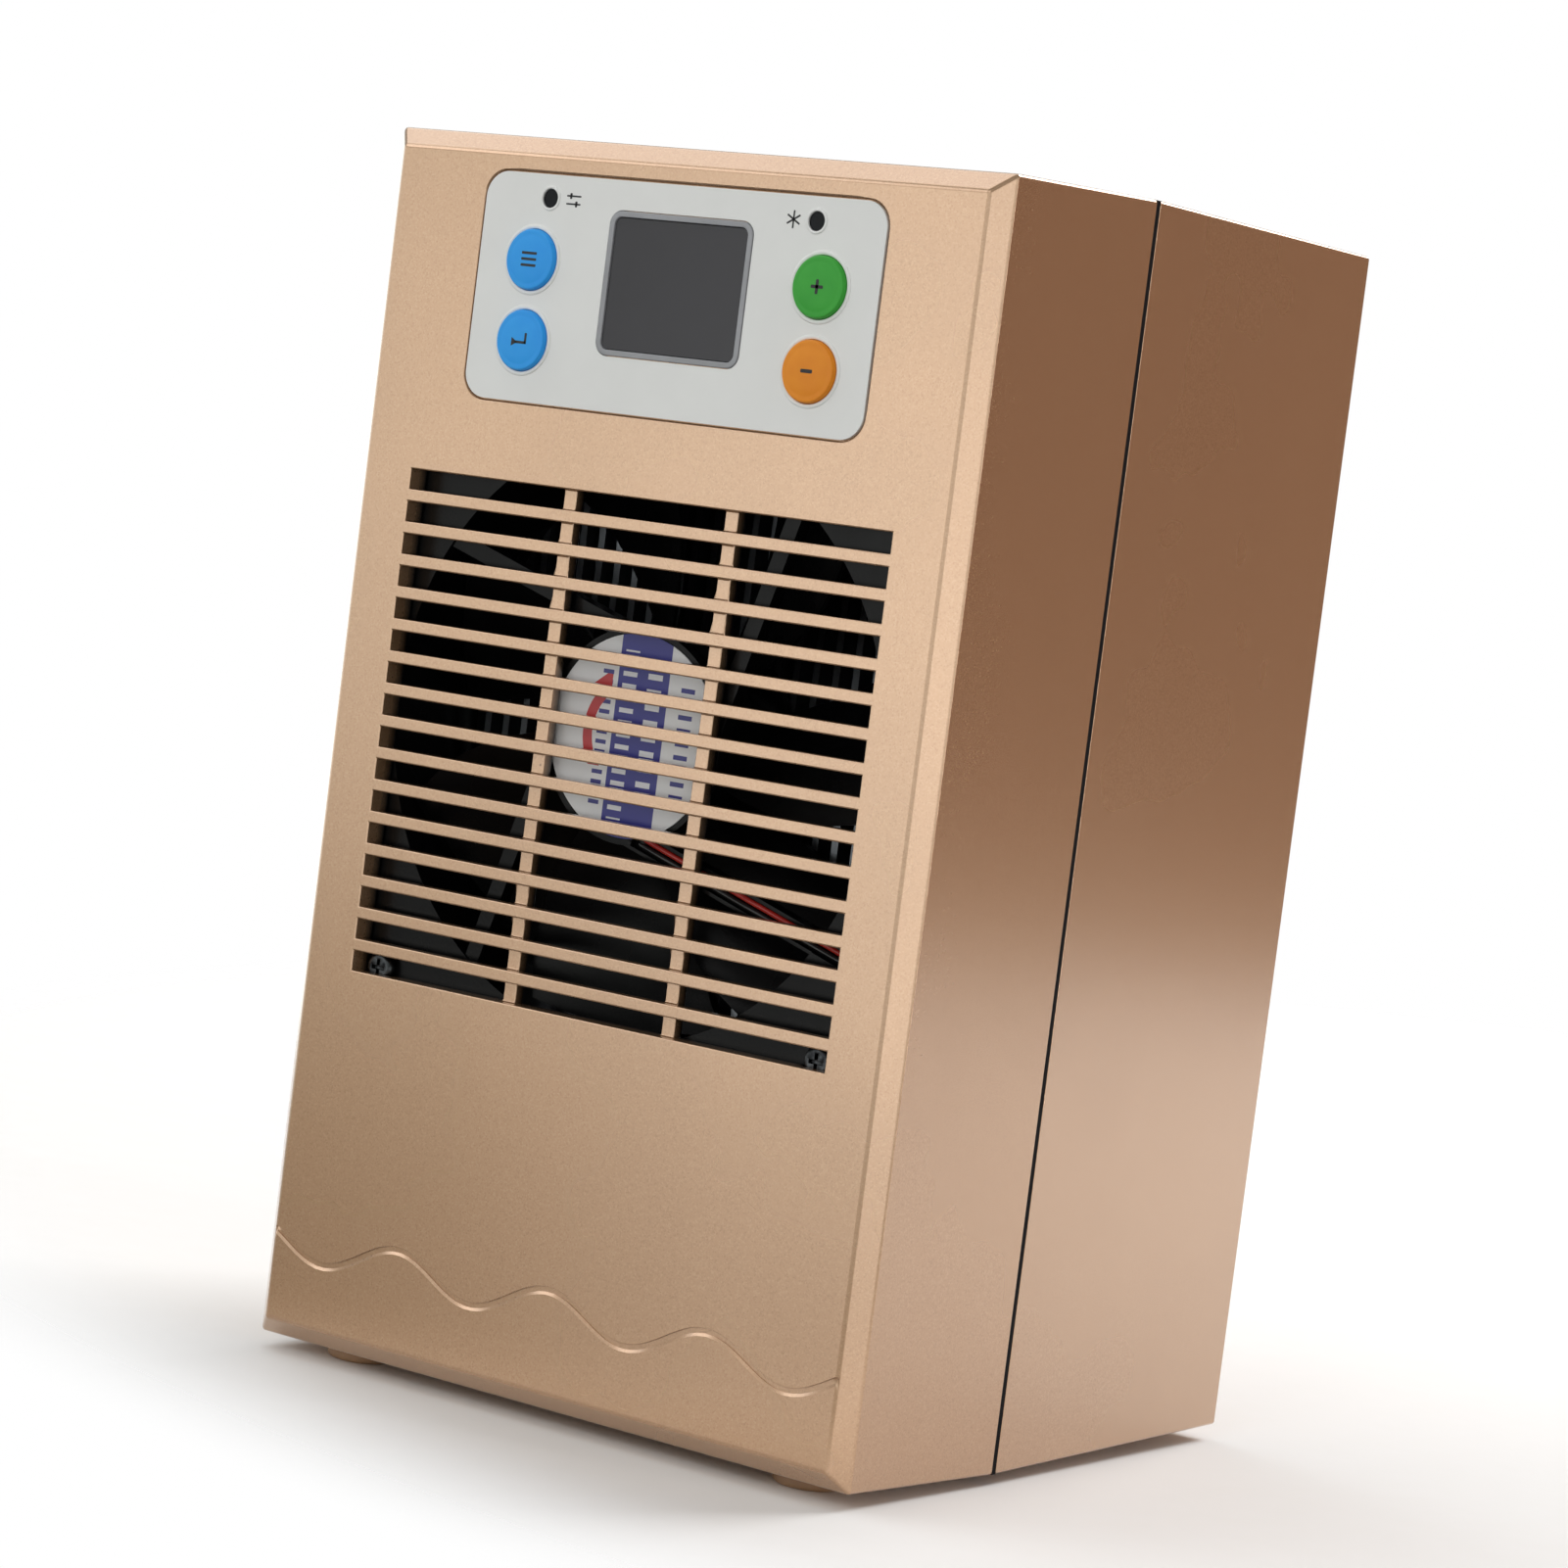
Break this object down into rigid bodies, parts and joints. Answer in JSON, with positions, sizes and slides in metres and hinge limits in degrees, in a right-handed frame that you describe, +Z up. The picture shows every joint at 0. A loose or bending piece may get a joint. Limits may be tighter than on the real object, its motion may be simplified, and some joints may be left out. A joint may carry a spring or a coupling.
{
  "type": "aquarium chiller",
  "caption": "Thermoelectric aquarium chiller: upright two-part case with a louvred fan grille, display panel with keys, hose spigots, inlets and a switch at the back.",
  "frame": {"origin": "middle of the bounding box, on the surface that the feet stand on", "axes": "+Z up, -Y towards the front grille, +X to the right seen from the front"},
  "size_m": [0.145, 0.1572, 0.242],
  "materials": {
    "gold_paint": "metallic paint on moulded plastic, satin",
    "black_rubber": "matt",
    "screw_steel": "plated, bright",
    "panel_plastic": "fine matt film",
    "grey_plastic": "satin",
    "tinted_window": "smoked, polished",
    "black_plastic": "moulded, semi-gloss",
    "gloss_black": "moulded, gloss",
    "blue_key": "satin film",
    "green_key": "satin film",
    "orange_key": "satin film",
    "circuit_board": "solder mask",
    "sleeve_blue": "shrink sleeve",
    "white_nylon": "moulded",
    "lamp_plastic": "clear",
    "magnet_iron": "sintered",
    "bearing_brass": "turned",
    "sheet_steel": "cold rolled",
    "coil_copper": "enamelled winding",
    "label_film": "printed film",
    "red_insulation": "soft insulation",
    "black_insulation": "soft insulation",
    "sink_aluminium": "extruded",
    "module_ceramic": "unglazed",
    "foam_rubber": "closed-cell foam",
    "hose_silicone": "translucent silicone"
  },
  "bodies": {
    "case": {"front_shell": "gold_paint", "rear_shell": "gold_paint", "seam_gasket": "black_rubber", "feet": "gold_paint", "case_screws": "screw_steel", "panel_plate": "panel_plastic", "display_frame": "grey_plastic", "display_window": "tinted_window", "display_module": "black_plastic", "lamp_windows": "tinted_window", "switch_bases": "black_plastic", "control_board": "circuit_board", "board_screws": "screw_steel", "board_chip": "black_plastic", "board_capacitors": "sleeve_blue", "board_connectors": "white_nylon", "status_lamps": "lamp_plastic", "fan_frame": "black_plastic", "fan_bearing": "bearing_brass", "fan_stator": "sheet_steel", "fan_coils": "coil_copper", "fan_label": "label_film", "fan_screws": "screw_steel", "fan_lead_red": "red_insulation", "fan_lead_black": "black_insulation", "heat_sink": "sink_aluminium", "sink_screws": "screw_steel", "cooling_modules": "module_ceramic", "water_block": "sink_aluminium", "block_foam": "foam_rubber", "block_clamp": "sheet_steel", "clamp_screws": "screw_steel", "hose_left": "hose_silicone", "hose_right": "hose_silicone", "spigot_left": "black_plastic", "spigot_right": "black_plastic", "spigot_nuts": "black_plastic", "spigot_seals": "black_rubber", "power_inlet": "black_plastic", "inlet_pin": "bearing_brass", "inlet_nut": "screw_steel", "sensor_socket": "black_plastic", "socket_nut": "screw_steel", "switch_housing": "gloss_black", "switch_terminals": "bearing_brass"},
    "set_button": {"set_key": "blue_key", "set_plunger": "black_plastic"},
    "enter_button": {"enter_key": "blue_key", "enter_plunger": "black_plastic"},
    "plus_button": {"plus_key": "green_key", "plus_plunger": "black_plastic"},
    "minus_button": {"minus_key": "orange_key", "minus_plunger": "black_plastic"},
    "impeller": {"fan_rotor": "black_plastic", "rotor_magnet": "magnet_iron", "fan_shaft": "screw_steel"},
    "power_rocker": {"rocker": "gloss_black"}
  },
  "joints": [
    {"name": "fan_spin", "type": "hinge", "parent": "case", "child": "impeller", "pos_m": [0, -0.0594, 0.1312], "axis": [0, 1, 0], "continuous": true},
    {"name": "set_press", "type": "slide", "parent": "case", "child": "set_button", "axis": [0, 1, 0], "range_m": [0, 0.0005], "stiffness_N_per_m": 400, "springref_m": -0.0005},
    {"name": "enter_press", "type": "slide", "parent": "case", "child": "enter_button", "axis": [0, 1, 0], "range_m": [0, 0.0005], "stiffness_N_per_m": 400, "springref_m": -0.0005},
    {"name": "plus_press", "type": "slide", "parent": "case", "child": "plus_button", "axis": [0, 1, 0], "range_m": [0, 0.0005], "stiffness_N_per_m": 400, "springref_m": -0.0005},
    {"name": "minus_press", "type": "slide", "parent": "case", "child": "minus_button", "axis": [0, 1, 0], "range_m": [0, 0.0005], "stiffness_N_per_m": 400, "springref_m": -0.0005},
    {"name": "rocker_tip", "type": "hinge", "parent": "case", "child": "power_rocker", "pos_m": [-0.046, 0.0566, 0.04], "axis": [-1, 0, 0], "range_deg": [0, 18]}
  ]
}
